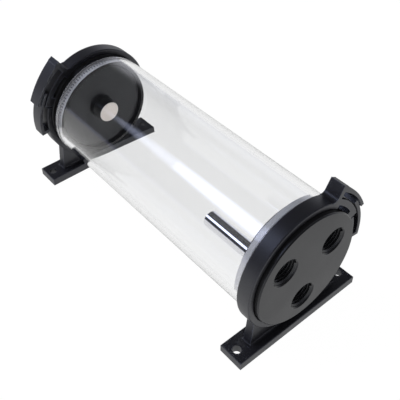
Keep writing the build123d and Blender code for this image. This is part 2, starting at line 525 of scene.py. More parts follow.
@dataclass(frozen=True)
class MouldedPlastic(Finish):
    """Black moulded plastic with a fine spark-eroded texture and edges lightened by a painted highlight.

    Attributes:
        edge: Colour of the painted highlight on its edges.
        grain: Scale of the texture, to the metre.
        cloud: Scale of its uneven gloss.
    """

    edge: Rgb = (0.11, 0.12, 0.16)
    grain: float = 1300.0
    cloud: float = 60.0

    def build(self) -> bpy.types.Material:
        """Makes the material.

        Returns:
            The material.
        """
        n = Nodes.new(bpy.data.materials.new(self.name))
        point = n.object_point((0, 0, 0))
        grain = n.noise(point, self.grain, 2.0)
        cloud = n.noise(point, self.cloud)
        # painted highlight: the edges are lightened towards the edge colour, more in some patches than in others
        painted_edge_highlight = n.math("MULTIPLY", n.edge_mask(0.7), n.spread(cloud, 0.35, 0.65, 0.25, 0.8))
        shader = n.add("BsdfPrincipled", {
            "Base Color": n.mix(painted_edge_highlight, self.colour, self.edge),
            "Roughness": n.spread(cloud, 0.3, 0.7, self.roughness - 0.05, self.roughness + 0.06),
            "Specular IOR Level": 0.95,
            # painted sheen: a faint blue tint put on the reflections
            "Specular Tint": (0.92, 0.94, 1.0, 1),
            "Normal": n.bump(grain, 0.5, 0.05),
        })
        return n.close(shader)


@dataclass(frozen=True)
class TurnedPlastic(Finish):
    """Black acetal turned on a lathe, with faint rings of the tool about the tube axis and edges lightened by a
    painted highlight.

    Attributes:
        axis_h: Height of the tube axis, in millimetres.
        edge: Colour of the painted highlight on its edges.
        ring_pitch: Distance from ring to ring, in millimetres.
    """

    axis_h: float = 38.5
    edge: Rgb = (0.12, 0.125, 0.14)
    ring_pitch: float = 0.3

    def build(self) -> bpy.types.Material:
        """Makes the material.

        Returns:
            The material.
        """
        n = Nodes.new(bpy.data.materials.new(self.name))
        point = n.object_point((0, 0, -self.axis_h * MM))
        rings = n.add("TexWave", {"Vector": point, "Scale": math.pi / 10 / (self.ring_pitch * MM),
                                  "Distortion": 0.6, "Detail": 2.0, "Detail Scale": 0.2},
                      wave_type="RINGS", rings_direction="X", wave_profile="SIN").outputs["Fac"]
        cloud = n.noise(point, 45.0, 4.0)
        fine = n.noise(point, 900.0, 2.0)
        # painted highlight: the edges are lightened towards the edge colour, more in some patches than in others
        painted_edge_highlight = n.math("MULTIPLY", n.edge_mask(0.4), n.spread(cloud, 0.35, 0.65, 0.3, 0.9))
        shader = n.add("BsdfPrincipled", {
            "Base Color": n.mix(painted_edge_highlight, self.colour, self.edge),
            "Roughness": n.spread(cloud, 0.3, 0.7, self.roughness - 0.04, self.roughness + 0.05),
            "Specular IOR Level": 0.55,
            # painted sheen: a faint blue tint put on the reflections
            "Specular Tint": (0.93, 0.95, 1.0, 1),
            "Normal": n.bump(n.math("ADD", rings, fine), 0.12, 0.01),
        })
        return n.close(shader)


@dataclass(frozen=True)
class ClearAcrylic(Finish):
    """Polished clear acrylic with a faint haze from handling."""

    ior: float = 1.49

    def build(self) -> bpy.types.Material:
        """Makes the material.

        Returns:
            The material.
        """
        n = Nodes.new(bpy.data.materials.new(self.name))
        haze = n.noise(n.object_point((0, 0, 0)), 20.0)
        glass = n.add("BsdfPrincipled", {
            "Base Color": n.mix(haze, self.colour, tuple(min(1.0, c * 1.01) for c in self.colour)),
            "Roughness": self.roughness,
            "IOR": self.ior,
            "Transmission Weight": 1.0,
            "Specular IOR Level": 0.32,
        })
        open_to_lamps = n.add("BsdfTransparent", {"Color": (0.96, 0.965, 0.975, 1)})
        return n.close(n.blend(n.add("LightPath").outputs["Is Shadow Ray"], glass, open_to_lamps))


@dataclass(frozen=True)
class BrightMetal(Finish):
    """Plated or anodised metal with fine polishing lines and a painted highlight on its edges.

    Attributes:
        axis_h: Height of the tube axis, in millimetres.
        stretch: How far the lines run along X, Y and Z: a small share is a long line.
        grain: Lines to the metre.
        relief: Strength of the lines' bump.
        edge: Colour of the painted highlight on its edges.
        bare: Share of bare metal, the rest being a pale oxide.
    """

    axis_h: float = 38.5
    stretch: tuple[float, float, float] = (0.03, 1.0, 1.0)
    grain: float = 1500.0
    relief: float = 0.05
    edge: Rgb = (0.95, 0.95, 0.95)
    bare: float = 1.0

    def build(self) -> bpy.types.Material:
        """Makes the material.

        Returns:
            The material.
        """
        n = Nodes.new(bpy.data.materials.new(self.name))
        lines = n.noise(n.object_point((0, 0, -self.axis_h * MM), self.stretch), self.grain, 2.0)
        cloud = n.noise(n.object_point((0, 0, 0)), 120.0)
        shader = n.add("BsdfPrincipled", {
            # painted highlight: the edges take the edge colour
            "Base Color": n.mix(n.edge_mask(0.3), self.colour, self.edge),
            "Metallic": self.bare,
            "Roughness": n.spread(cloud, 0.3, 0.7, self.roughness * 0.8, self.roughness * 1.3),
            "Normal": n.bump(lines, self.relief, 0.01),
        })
        return n.close(shader)


@dataclass(frozen=True)
class SealRubber(Finish):
    """Black nitrile rubber with a dull bloom."""

    bloom: Rgb = (0.045, 0.045, 0.047)

    def build(self) -> bpy.types.Material:
        """Makes the material.

        Returns:
            The material.
        """
        n = Nodes.new(bpy.data.materials.new(self.name))
        point = n.object_point((0, 0, 0))
        cloud = n.noise(point, 300.0, 4.0)
        shader = n.add("BsdfPrincipled", {
            "Base Color": n.mix(n.spread(cloud, 0.4, 0.7), self.colour, self.bloom),
            "Roughness": n.spread(cloud, 0.3, 0.7, self.roughness - 0.08, self.roughness + 0.08),
            "Normal": n.bump(n.noise(point, 2500.0, 2.0), 0.3, 0.02),
        })
        return n.close(shader)


# Pieces


@dataclass(frozen=True)
class Layout:
    """Sizes that the pieces share, in millimetres, read from the frame where it holds them.

    Attributes:
        axis_h: Height of the tube axis.
        tube_r: Radius of the tube.
        tube_end: Half the tube's length.
        collar_x: Outer face of an insert's collar.
        tube_wall: Thickness of the tube's wall.
        bracket_x: Middle of a bracket's foot.
    """

    axis_h: float
    tube_r: float
    tube_end: float
    collar_x: float
    tube_wall: float = 3.0
    bracket_x: float = 78.0

    @classmethod
    def from_frame(cls) -> "Layout":
        """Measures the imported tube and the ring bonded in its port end.

        Returns:
            The shared sizes.
        """
        low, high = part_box("reservoir_tube")
        return cls(axis_h=(low.z + high.z) / 2 / MM, tube_r=(high.z - low.z) / 2 / MM, tube_end=high.x / MM,
                   collar_x=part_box("port_end_insert")[1].x / MM)

    @property
    def bore_r(self) -> float:
        """Radius of the tube's bore."""
        return self.tube_r - self.tube_wall


@dataclass(frozen=True)
class Finishes:
    """The finishes of all pieces, two of them being further ones on some faces: a plain black, and a painted
    shade for the floors of the knurl's grooves.
    """

    acrylic: Finish = ClearAcrylic("clear_acrylic", (0.985, 0.988, 0.992), 0.0)
    cap: Finish = TurnedPlastic("turned_black_acetal", (0.012, 0.012, 0.013), 0.32)
    bracket: Finish = MouldedPlastic("moulded_black_plastic", (0.012, 0.012, 0.016), 0.40)
    insert: Finish = BrightMetal("clear_anodised_aluminium", (0.97, 0.97, 1.0), 0.34, bare=0.15)
    # painted shade: dark navy for the floors of the knurl's grooves, where shade falls
    painted_groove_shade: Finish = BrightMetal("knurl_groove_painted_shade", (0.13, 0.13, 0.20), 0.45, bare=0.30)
    # plain black put on some faces of the knurled rings and of the stop plug's shank
    plain_black: Finish = SealRubber("plain_black_faces", (0.006, 0.006, 0.007), 0.45,
                                      bloom=(0.012, 0.012, 0.013))
    pipe: Finish = BrightMetal("polished_chrome", (0.82, 0.82, 0.84), 0.05)
    plug: Finish = BrightMetal("nickel_plate", (0.80, 0.74, 0.70), 0.30, stretch=(1.0, 1.0, 1.0), relief=0.2)
    seal: Finish = SealRubber("seal_rubber", (0.014, 0.014, 0.015), 0.62)


@dataclass
class Vessel:
    """The clear tube and the knurled rings bonded in its ends.

    Attributes:
        shop: The workshop.
        layout: Shared sizes.
        finishes: All finishes.
        edge: Rounding of the tube's outer edges.
        ring_bore: Bore radius of an insert ring.
        ring_len: Length of an insert ring in the bore.
        lip: Plain lip at its outer end.
        lip_slope: Length of the slope from lip to knurl.
        flange: Plain flange at its inner end, at the fill end and at the port end.
        groove: Width of the groove beside the flange.
        groove_slope: Length of the slope of its sides.
        knurl_depth: Depth of the straight knurl.
        knurl_drop: How far the teeth's tops lie below lip and flange.
        knurl_count: Teeth round the ring.
        bond_gap: Glue gap between ring and bore.
        collar_r: Radius of the collar outside the tube, at the fill end.
        collar_edge: Rounding of its outer edge.
        collar_gap: Gap between collar and tube.
    """

    shop: Workshop
    layout: Layout
    finishes: Finishes
    edge: float = 0.4
    ring_bore: float = 25.2
    ring_len: float = 4.6
    lip: float = 0.5
    lip_slope: float = 0.1
    flange: tuple[float, float] = (1.6, 2.5)
    groove: float = 0.4
    groove_slope: float = 0.05
    knurl_depth: float = 0.55
    knurl_drop: float = 0.05
    knurl_count: int = 104
    bond_gap: float = 0.02
    collar_r: float = 29.2
    collar_edge: float = 0.3
    collar_gap: float = 0.02

    def wall_end(self, end: End) -> float:
        """How far the clear wall reaches: at the port end it seems to cover the whole ring."""
        return self.layout.collar_x if end is End.PORT else self.layout.tube_end

    def tube(self) -> None:
        """Extruded tube with polished, rounded ends."""
        low, high = -self.wall_end(End.FILL), self.wall_end(End.PORT)
        bore, outer = self.layout.bore_r, self.layout.tube_r
        inner = [(x, bore) for x in (low, low / 3, high / 3, high)]
        outside = [(high, outer - self.edge), (high - self.edge, outer), (low + self.edge, outer),
                   (low, outer - self.edge)]
        work = self.shop.turn(inner + outside, closed=True, segments=256)
        work.smooth(50).hand_over("clear_tube", "tank", "tube_acrylic", self.finishes.acrylic,
                                  ["reservoir_tube"])

    def knurl(self, work: Work, low: float, high: float, radius: float, depth: float) -> None:
        """Pushes every other pair of columns of a turned band inwards, into a straight knurl.

        Args:
            work: The turned ring, with four columns of faces a tooth.
            low: Where the band starts along the tube, in millimetres.
            high: Where it ends.
            radius: The band's radius.
            depth: Depth of the teeth.
        """
        step = math.pi / 2 / self.knurl_count
        work.edit()
        bpy.ops.mesh.select_all(action="DESELECT")
        bpy.ops.object.mode_set(mode="OBJECT")
        for vertex in work.obj.data.vertices:
            across = Vector((vertex.co.y, vertex.co.z - self.layout.axis_h * MM))
            column = round(math.atan2(across.y, across.x) / step)
            inside = low < vertex.co.x / MM < high and abs(across.length / MM - radius) < depth / 5
            vertex.select = inside and column % 4 in (2, 3)
        bpy.ops.object.mode_set(mode="EDIT")
        ratio = 1 - depth / radius
        bpy.ops.transform.resize(value=(1, ratio, ratio), center_override=self.shop.pivot)
        work.settle()

    def place(self, face: bpy.types.MeshPolygon) -> tuple[float, float]:
        """How far a face's middle lies along the tube from its middle, and from the axis."""
        x, y, z = face.center / MM
        return abs(x), math.hypot(y, z - self.layout.axis_h)

    def insert(self, end: End) -> None:
        """Knurled ring bonded in the bore, bright outside, black in its bore and on its inner end, with painted
        shade on the floors of its grooves.

        Args:
            end: The end where it lies.
        """
        out_x, top = self.wall_end(end), self.layout.bore_r - self.bond_gap
        crest = top - self.knurl_drop
        in_x, face_x = out_x - self.ring_len, self.layout.collar_x
        low, high = in_x + self.flange[end is End.PORT], out_x - self.lip
        knurl_x = low + self.groove
        stations = [(in_x, self.ring_bore), (face_x, self.ring_bore)]
        if end is End.FILL:
            foot_x = out_x + self.collar_gap
            stations += [(face_x, self.collar_r - self.collar_edge), (face_x - self.collar_edge, self.collar_r),
                         (foot_x, self.collar_r), (foot_x, top)]
        stations += [(out_x, top), (high, top), (high - self.lip_slope, crest),
                     (knurl_x + self.groove_slope, crest), (knurl_x, top - self.knurl_depth),
                     (low + self.groove_slope, top - self.knurl_depth), (low, top), (in_x, top)]
        work = self.shop.turn(stations, closed=True, segments=4 * self.knurl_count)
        self.knurl(work, knurl_x, high, crest, self.knurl_depth)
        work.smooth(20).at_end(end)
        work.hand_over(f"{end.label}_end_knurled_ring", "tank", "insert_aluminium", self.finishes.insert,
                       [f"{end.label}_end_insert"])

        def black(face: bpy.types.MeshPolygon) -> bool:
            """Whether a face lies in the bore, on the inner end or on the collar."""
            along, across = self.place(face)
            return across < self.ring_bore + NEAR or along < in_x + NEAR or along > out_x + NEAR / 2

        def root(face: bpy.types.MeshPolygon) -> bool:
            """Whether a face lies on the floor of a groove, which takes painted shade."""
            along, across = self.place(face)
            return self.ring_bore + NEAR < across < crest - self.knurl_depth + 2 * NEAR and low < along < high

        # the bore, the inner end and the collar are painted plain black
        work.paint(self.finishes.plain_black, black)
        # painted shade: the floors of the grooves take the dark finish
        work.paint(self.finishes.painted_groove_shade, root)

    def build(self) -> None:
        """Makes the tube and both rings."""
        self.tube()
        for end in End:
            self.insert(end)


@dataclass
class Caps:
    """Both end caps, their seals, the standpipe and the stop plug.

    Sizes are in millimetres, and places are given at the port end. A thread's start is where its ridge
    begins, from the inner end of its bore or shank, and its runout is the length that stays plain.
    """

    shop: Workshop
    layout: Layout
    finishes: Finishes
    face_x: float = 84.6
    rim_r: float = 29.2
    rim_edge: float = 0.55
    shoulder_edge: float = 0.4
    shoulder_gap: float = 0.3
    inner_x: float = 68.0
    inner_edge: float = 0.5
    thread_r: float = 25.12
    cap_pitch: float = 1.5
    cap_thread_depth: float = 0.5
    cap_thread_start: float = 0.9
    cap_thread_runout: float = 1.4
    ridge_sink: float = 0.05
    seal_section: float = 1.78
    seal_mean_r: float = 27.2
    seal_side: float = 0.06
    seal_floor: float = 0.1
    seal_seat: float = 0.02
    port_count: int = 3
    port_circle: float = 16.8
    port_turn: float = -93.0
    port_r: float = 6.58
    port_depth: float = 10.0
    port_chamfer: float = 0.6
    port_drill: float = 4.6
    port_thread_start: float = 0.5
    port_thread_runout: float = 1.6
    pitch: float = 1.337
    thread_depth: float = 0.8
    pipe_r: float = 4.5
    pipe_wall: float = 0.8
    pipe_seat: float = 5.5
    pipe_tip: float = 22.8
    pipe_bore_edge: float = 0.2
    pipe_edge: float = 0.25
    plug_tip: float = 62.3
    plug_tip_edge: float = 0.1
    plug_bright: float = 0.15
    plug_thread_start: float = 0.7
    plug_thread_runout: float = 3.0
    plug_fit: float = 0.06
    head_r: float = 9.5
    head_t: float = 4.6
    head_edge: float = 0.5
    head_set: float = 0.4
    slot_size: tuple[float, float, float] = (3.6, 14.0, 2.2)
    recess_gap: float = 0.5
    plug_seal_section: float = 1.5
    plug_seal_gap: float = 0.1
    plug_seal_room: float = 0.2

    @property
    def shoulder_x(self) -> float:
        """Where the cap's shoulder faces the ring's collar."""
        return self.layout.collar_x + self.shoulder_gap

    @property
    def head_x(self) -> float:
        """Underside of the plug's head."""
        return self.face_x - self.head_set - self.head_t

    def centres(self) -> list[tuple[float, float]]:
        """(y, z) of each port from the tube axis, the standpipe's first."""
        turns = [math.radians(self.port_turn + 360 / self.port_count * i) for i in range(self.port_count)]
        return [(self.port_circle * math.cos(a), self.port_circle * math.sin(a)) for a in turns]

    def blank(self) -> Work:
        """Cap turned from bar, with its seal groove and its thread.

        Returns:
            The cap, still closed in the middle.
        """
        core = self.thread_r - self.cap_thread_depth
        half = self.seal_section / 2 + self.seal_side
        floor = self.layout.collar_x + self.seal_section + self.seal_floor
        shoulder = self.shoulder_x
        stations = [(self.inner_x, core - self.inner_edge), (self.inner_x + self.inner_edge, core),
                    (shoulder, core), (shoulder, self.seal_mean_r - half), (floor, self.seal_mean_r - half),
                    (floor, self.seal_mean_r + half), (shoulder, self.seal_mean_r + half),
                    (shoulder, self.rim_r - self.shoulder_edge), (shoulder + self.shoulder_edge, self.rim_r),
                    (self.face_x - self.rim_edge, self.rim_r), (self.face_x, self.rim_r - self.rim_edge)]
        cap = self.shop.turn(stations, segments=256)
        turns = (shoulder - self.inner_x - self.cap_thread_runout) / self.cap_pitch
        ridge = self.shop.helix(self.inner_x + self.cap_thread_start, turns, self.cap_pitch,
                                core - self.ridge_sink, self.thread_r, steps=96)
        return cap.combine(Boolean.UNION, ridge)

    def port_cap(self) -> None:
        """Cap with three threaded ports, the lowest open to the standpipe."""
        cap = self.blank()
        floor, mouth = self.face_x - self.port_depth, self.port_r + self.port_chamfer
        for i, (y, z) in enumerate(self.centres()):
            drill = self.pipe_r if i == 0 else self.port_drill
            stations = [(self.inner_x - SPARE, drill), (floor, drill), (floor, self.port_r),
                        (self.face_x - self.port_chamfer, self.port_r), (self.face_x, mouth),
                        (self.face_x + SPARE, mouth)]
            cap.combine(Boolean.CUT, self.shop.turn(stations, segments=96, y=y, z=z))
        cap.smooth().hand_over("drilled_port_cap", "port_end", "cap_acetal", self.finishes.cap, ["port_cap"])
        turns = (self.port_depth - self.port_thread_runout) / self.pitch
        for name, (y, z) in zip(("low", "right", "left"), self.centres()):
            ridge = self.shop.helix(floor + self.port_thread_start, turns, self.pitch, self.port_r,
                                    self.port_r - self.thread_depth, y, z)
            ridge.smooth(40).hand_over(f"port_thread_{name}", "port_end", "cap_acetal", self.finishes.cap)

    def standpipe(self) -> None:
        """Chromed pipe in the lowest port."""
        y, z = self.centres()[0]
        seat, tip = self.inner_x + self.pipe_seat, self.pipe_tip
        bore = self.pipe_r - self.pipe_wall
        stations = [(seat, bore), (tip + self.pipe_bore_edge, bore), (tip, bore + self.pipe_bore_edge),
                    (tip, self.pipe_r - self.pipe_edge), (tip + self.pipe_edge, self.pipe_r),
                    (seat, self.pipe_r)]
        pipe = self.shop.turn(stations, closed=True, segments=96, y=y, z=z)
        pipe.smooth(40).hand_over("chromed_standpipe", "port_end", "pipe_chrome", self.finishes.pipe,
                                  ["standpipe"])

    def fill_cap(self) -> None:
        """Cap with a recess and a threaded hole for the stop plug."""
        recess, hole = self.head_x - self.shoulder_gap, self.port_r + self.plug_fit
        wide = self.head_r + self.recess_gap
        pocket_r = self.port_r + self.plug_seal_gap + self.plug_seal_section + self.plug_seal_room
        pocket_x = self.head_x - self.seal_seat - self.plug_seal_section - self.plug_seal_room
        stations = [(self.inner_x - SPARE, hole), (pocket_x, hole), (pocket_x, pocket_r), (recess, pocket_r),
                    (recess, wide), (self.face_x - self.rim_edge, wide),
                    (self.face_x, wide + self.rim_edge), (self.face_x + SPARE, wide + self.rim_edge)]
        cap = self.blank()
        cap.combine(Boolean.CUT, self.shop.turn(stations, segments=128)).smooth().at_end(End.FILL)
        cap.hand_over("recessed_fill_cap", "fill_end", "cap_acetal", self.finishes.cap, ["fill_cap"])

    def plug(self) -> None:
        """Stop plug with a coin slot and a full thread, bright at its tip and head."""
        top, tip = self.head_x + self.head_t, self.plug_tip
        core = self.port_r - self.thread_depth
        stations = [(tip, core - self.plug_tip_edge), (tip + self.plug_tip_edge, core), (self.head_x, core),
                    (self.head_x, self.head_r), (top - self.head_edge, self.head_r),
                    (top, self.head_r - self.head_edge)]
        plug = self.shop.turn(stations, segments=128)
        turns = (self.head_x - tip - self.plug_thread_runout) / self.pitch
        ridge = self.shop.helix(tip + self.plug_thread_start, turns, self.pitch, core - self.ridge_sink,
                                self.port_r)
        plug.combine(Boolean.UNION, ridge)
        plug.combine(Boolean.CUT, self.shop.block(top, 0, self.layout.axis_h, self.slot_size))
        plug.smooth().at_end(End.FILL)
        plug.hand_over("stop_plug", "plug", "plug_nickel", self.finishes.plug, ["fill_plug"])
        # the shank between the bright tip and the head is painted plain black
        plug.paint(self.finishes.plain_black,
                   lambda face: tip + self.plug_bright < -face.center.x / MM < self.head_x - NEAR)

    def seal(self, name: str, body: str, x: float, mean_r: float, section: float, end: End,
             node: str) -> None:
        """Round rubber ring about the tube axis.

        Args:
            name: The piece's name.
            body: The CAD body that carries it.
            x: Its middle along the tube, at the port end.
            mean_r: Radius of its centre line.
            section: Thickness of the rubber.
            end: The end where it lies.
            node: The CAD node that it stands for.
        """
        clear_selection()
        bpy.ops.mesh.primitive_torus_add(major_segments=128, minor_segments=16, major_radius=mean_r * MM,
                                         minor_radius=section / 2 * MM, rotation=(0, math.pi / 2, 0),
                                         location=Vector((x, 0, self.layout.axis_h)) * MM)
        ring = Work(bpy.context.object).settle().smooth(60).at_end(end)
        ring.hand_over(name, body, "seal_rubber", self.finishes.seal, [node])

    def build(self) -> None:
        """Makes both caps and all that they carry."""
        self.port_cap()
        self.standpipe()
        self.fill_cap()
        self.plug()
        seal_x = self.layout.collar_x + self.seal_section / 2 + self.seal_seat
        for end in End:
            self.seal(f"{end.label}_end_o_ring", f"{end.label}_seal", seal_x, self.seal_mean_r,
                      self.seal_section, end, f"{end.label}_cap_seal")
        half = self.plug_seal_section / 2
        self.seal("plug_o_ring", "plug_seal", self.head_x - half - self.seal_seat,
                  self.port_r + self.plug_seal_gap + half, self.plug_seal_section, End.FILL, "fill_plug_seal")


@dataclass
class SnapBracket:
    """One-piece moulded bracket: snap ring with its clasp, neck and foot bar.

    Angles are in degrees about the tube axis, from +Y towards +Z, sizes in millimetres. Names in _r are
    radii about the tube axis. The neck stands in the foot by neck_bed and in the ring by neck_sink.
    """

    shop: Workshop
    layout: Layout
    finishes: Finishes
    bore_r: float = 29.25
    ring_r: float = 32.4
    ring_w: float = 7.5
    ring_set: float = 0.55
    ring_edge: float = 0.7
    ring_start: float = 57.0
    ring_end: float = 356.0
    band_end: float = 379.5
    lug_angle: float = 61.0
    lug_r: float = 40.6
    lug_root: float = 2.5
    arm_in_r: float = 34.2
    arm_in_end: float = 21.0
    pocket_r: float = 31.3
    pocket: tuple[float, float] = (31.0, 55.0)
    arm_out_r: float = 37.4
    arm_waist_r: float = 39.1
    arm_waist: float = 40.0
    arm_out_end: float = 22.0
    catch_r: float = 36.8
    catch_in_r: float = 34.9
    catch_root: float = -7.0
    catch_tip: float = 34.0
    tooth_h: float = 0.4
    tooth_slope: float = 1.15
    tooth_first: float = 25.0
    tooth_pitch: float = 3.0
    tooth_count: int = 3
    neck_t: float = 4.4
    neck_top_half: float = 25.6
    neck_foot_half: float = 27.4
    neck_fillet: float = 1.2
    foot: tuple[float, float, float] = (13.2, 74.7, 4.5)
    foot_edge: float = 0.5
    screw_r: float = 2.1
    screw_inset: float = 3.85
    corner: float = 0.3
    overlap: float = 0.2
    neck_bed: float = 0.3
    neck_sink: float = 1.0
    flare_steps: int = 6

    @property
    def ring_x(self) -> float:
        """Middle of the ring and the clasp along the tube."""
        return self.layout.bracket_x + self.ring_set

    def arc(self, r_in: float, r_out: float, start: float, end: float, corner: float | None = None) -> Work:
        """An arc-shaped bar of the ring's width.

        Args:
            r_in: Inner radius.
            r_out: Outer radius.
            start: Start angle.
            end: End angle.
            corner: Rounding of its long edges, the bracket's usual one if None.

        Returns:
            The bar.
        """
        edge = self.corner if corner is None else corner
        return self.shop.sector(self.ring_x, self.ring_w, r_in, r_out, start, end, edge)

    def cross_rod(self, radius: float, y: float = 0.0, z: float = 0.0, segments: int = 256) -> Work:
        """A rod along X that goes well past both sides of the ring, centred off the tube axis."""
        return self.shop.rod(self.ring_x - self.ring_w, self.ring_x + self.ring_w, radius, y, z, segments)

    def wide_arc(self, r_in: float, r_out: float, start: float, end: float) -> Work:
        """A cutter a little wider than the ring."""
        return self.shop.sector(self.ring_x, self.ring_w + 2 * SPARE, r_in, r_out, start, end)

    def at(self, radius: float, angle: float) -> tuple[float, float]:
        """(y, z) from the tube axis."""
        a = math.radians(angle)
        return radius * math.cos(a), radius * math.sin(a)

    def ring(self) -> Work:
        """The ring's band, with its free end under the clasp."""
        return self.arc(self.bore_r, self.ring_r, self.ring_start, self.band_end, self.ring_edge)

    def lug(self) -> Work:
        """The grip that stands up from the ring, with its concave root.

        Returns:
            The grip.
        """
        centre_r = self.ring_r + self.lug_root
        spread = math.degrees(math.asin(self.lug_root / centre_r))
        root = self.arc(self.bore_r + self.overlap, centre_r * math.cos(math.radians(spread)),
                        self.lug_angle - 1, self.lug_angle + spread)
        y, z = self.at(centre_r, self.lug_angle + spread)
        root.combine(Boolean.CUT, self.cross_rod(self.lug_root, y, z, 64))
        return self.arc(self.bore_r, self.lug_r, self.ring_start, self.lug_angle).combine(Boolean.UNION, root)

    def inner_arm(self) -> Work:
        """The arm that lies on the cap, hollow below."""
        arm = self.arc(self.bore_r, self.arm_in_r, self.arm_in_end, self.lug_angle)
        return arm.combine(Boolean.CUT, self.wide_arc(self.bore_r - SPARE, self.pocket_r, *self.pocket))

    def outer_arm(self) -> Work:
        """The tapered arm over the catch, its back on a flatter arc.

        Returns:
            The arm.
        """
        arm = self.arc(self.arm_out_r, self.lug_r + SPARE, self.arm_out_end, self.lug_angle)
        points = [Vector(self.at(self.lug_r, self.lug_angle)), Vector(self.at(self.arm_waist_r, self.arm_waist)),
                  Vector(self.at(self.arm_waist_r, self.arm_out_end))]
        centre, radius = circle_through(*points)
        return arm.combine(Boolean.COMMON, self.cross_rod(radius, centre.x, centre.y))

    def catch(self) -> list[Work]:
        """The hook that the outer arm's teeth hold, and its root on the ring.

        Returns:
            Hook and root.
        """
        hook = self.arc(self.catch_in_r, self.catch_r, self.catch_root, self.catch_tip)
        root = self.arc(self.bore_r, self.catch_r, self.catch_root, self.ring_end - 360)
        return [hook, root]

    def teeth(self) -> list[Work]:
        """Triangular ridges of hook and arm that interlock.

        Returns:
            The ridges.
        """
        made = []
        for i in range(self.tooth_count):
            angle = self.tooth_first + self.tooth_pitch * i
            made.append(self.tooth(self.catch_r, self.tooth_h, angle))
            made.append(self.tooth(self.arm_out_r, -self.tooth_h, angle + self.tooth_pitch / 2))
        return made

    def tooth(self, radius: float, height: float, angle: float) -> Work:
        """One ridge, a three-sided bar across the clasp.

        Args:
            radius: Radius about the tube axis of the face that it stands on.
            height: Its height, below zero for a crest towards the axis.
            angle: Its place round the ring.

        Returns:
            The ridge.
        """
        clear_selection()
        y, z = self.at(radius, angle)
        turn = math.radians(angle) - (math.pi / 2 if height > 0 else -math.pi / 2)
        place = Vector((self.ring_x, y, self.layout.axis_h + z)) * MM
        bpy.ops.mesh.primitive_cylinder_add(vertices=3, radius=1, depth=1, location=place)
        work = Work(bpy.context.object)
        stand = Matrix.Rotation(turn, 4, "X") @ Matrix.Rotation(math.pi / 2, 4, "Y")
        stand = stand @ Matrix.Rotation(math.pi / 2, 4, "Z")
        work.obj.rotation_euler = stand.to_euler()
        work.obj.scale = (abs(height) * self.tooth_slope * MM, abs(height) * MM, self.ring_w * MM)
        return work.settle()

    def neck(self) -> Work:
        """Web between foot and ring, flared where it stands on the foot.

        Returns:
            The web, cut to the ring above it.
        """
        clear_selection()
        x, top, flare = self.layout.bracket_x, self.foot[2], self.neck_fillet
        z, t, w = top - self.neck_bed, self.neck_t / 2 + flare, self.neck_foot_half + flare
        bpy.ops.mesh.primitive_plane_add(size=1, location=Vector((x, 0, z)) * MM)
        work = Work(bpy.context.object)
        work.obj.scale = (2 * t * MM, 2 * w * MM, 1)
        work.settle().edit()
        levels = [(top, t, w)]
        for i in range(1, self.flare_steps + 1):
            a = math.pi / 2 * i / self.flare_steps
            inset = flare * math.sin(a)
            levels.append((top + flare * (1 - math.cos(a)), t - inset, w - inset))
        levels.append((self.layout.axis_h / 2 + top / 2, self.neck_t / 2, self.neck_top_half))
        for next_z, next_t, next_w in levels:
            shift = (0, 0, (next_z - z) * MM)
            bpy.ops.mesh.extrude_region_move(TRANSFORM_OT_translate={"value": shift})
            centre = Vector((x, 0, next_z)) * MM
            bpy.ops.transform.resize(value=(next_t / t, next_w / w, 1), center_override=centre)
            z, t, w = next_z, next_t, next_w
        work.outward()
        bore = self.shop.rod(x - self.ring_w, x + self.ring_w, self.bore_r + self.neck_sink, segments=192)
        return work.combine(Boolean.CUT, bore)

    def base(self) -> Work:
        """Foot bar with rounded top edges and a screw hole near each end.

        Returns:
            The bar.
        """
        width, length, height = self.foot
        x = self.layout.bracket_x
        bar = self.shop.block(x, 0, height / 2, self.foot)
        bar.edit()
        bpy.ops.mesh.select_all(action="DESELECT")
        bpy.ops.object.mode_set(mode="OBJECT")
        mesh = bar.obj.data
        for edge in mesh.edges:
            edge.select = all(mesh.vertices[v].co.z > height / 2 * MM for v in edge.vertices)
        bpy.ops.object.mode_set(mode="EDIT")
        bpy.ops.mesh.bevel(offset=self.foot_edge * MM, segments=3, profile=0.5)
        bar.settle()
        for side in (-1, 1):
            clear_selection()
            place = Vector((x, side * (length / 2 - self.screw_inset), height / 2)) * MM
            bpy.ops.mesh.primitive_cylinder_add(vertices=64, radius=self.screw_r * MM,
                                                depth=2 * height * MM, location=place)
            bar.combine(Boolean.CUT, Work(bpy.context.object).settle())
        return bar

    def build(self) -> None:
        """Makes the bracket once and stands a copy, turned half round, at the other end."""
        bracket = self.ring()
        bracket.combine(Boolean.UNION, self.lug(), self.inner_arm(), self.outer_arm(), *self.catch(),
                        *self.teeth(), self.neck(), self.base())
        bracket.smooth(35)
        for end, work in ((End.FILL, bracket.copy()), (End.PORT, bracket)):
            work.at_end(end).hand_over(f"{end.label}_end_snap_bracket", "brackets", "bracket_plastic",
                                       self.finishes.bracket, [f"{end.label}_end_bracket"])


def circle_through(a: Vector, b: Vector, c: Vector) -> tuple[Vector, float]:
    """Finds the circle through three points of a plane.

    Args:
        a: The first point.
        b: The second.
        c: The third.

    Returns:
        Its centre and radius.
    """
    m1, m2 = (a + b) / 2, (b + c) / 2
    d1, d2 = b - a, c - b
    det = d1.x * d2.y - d1.y * d2.x
    p, q = d1.dot(m1), d2.dot(m2)
    centre = Vector(((p * d2.y - q * d1.y) / det, (q * d1.x - p * d2.x) / det))
    return centre, (a - centre).length


# Studio


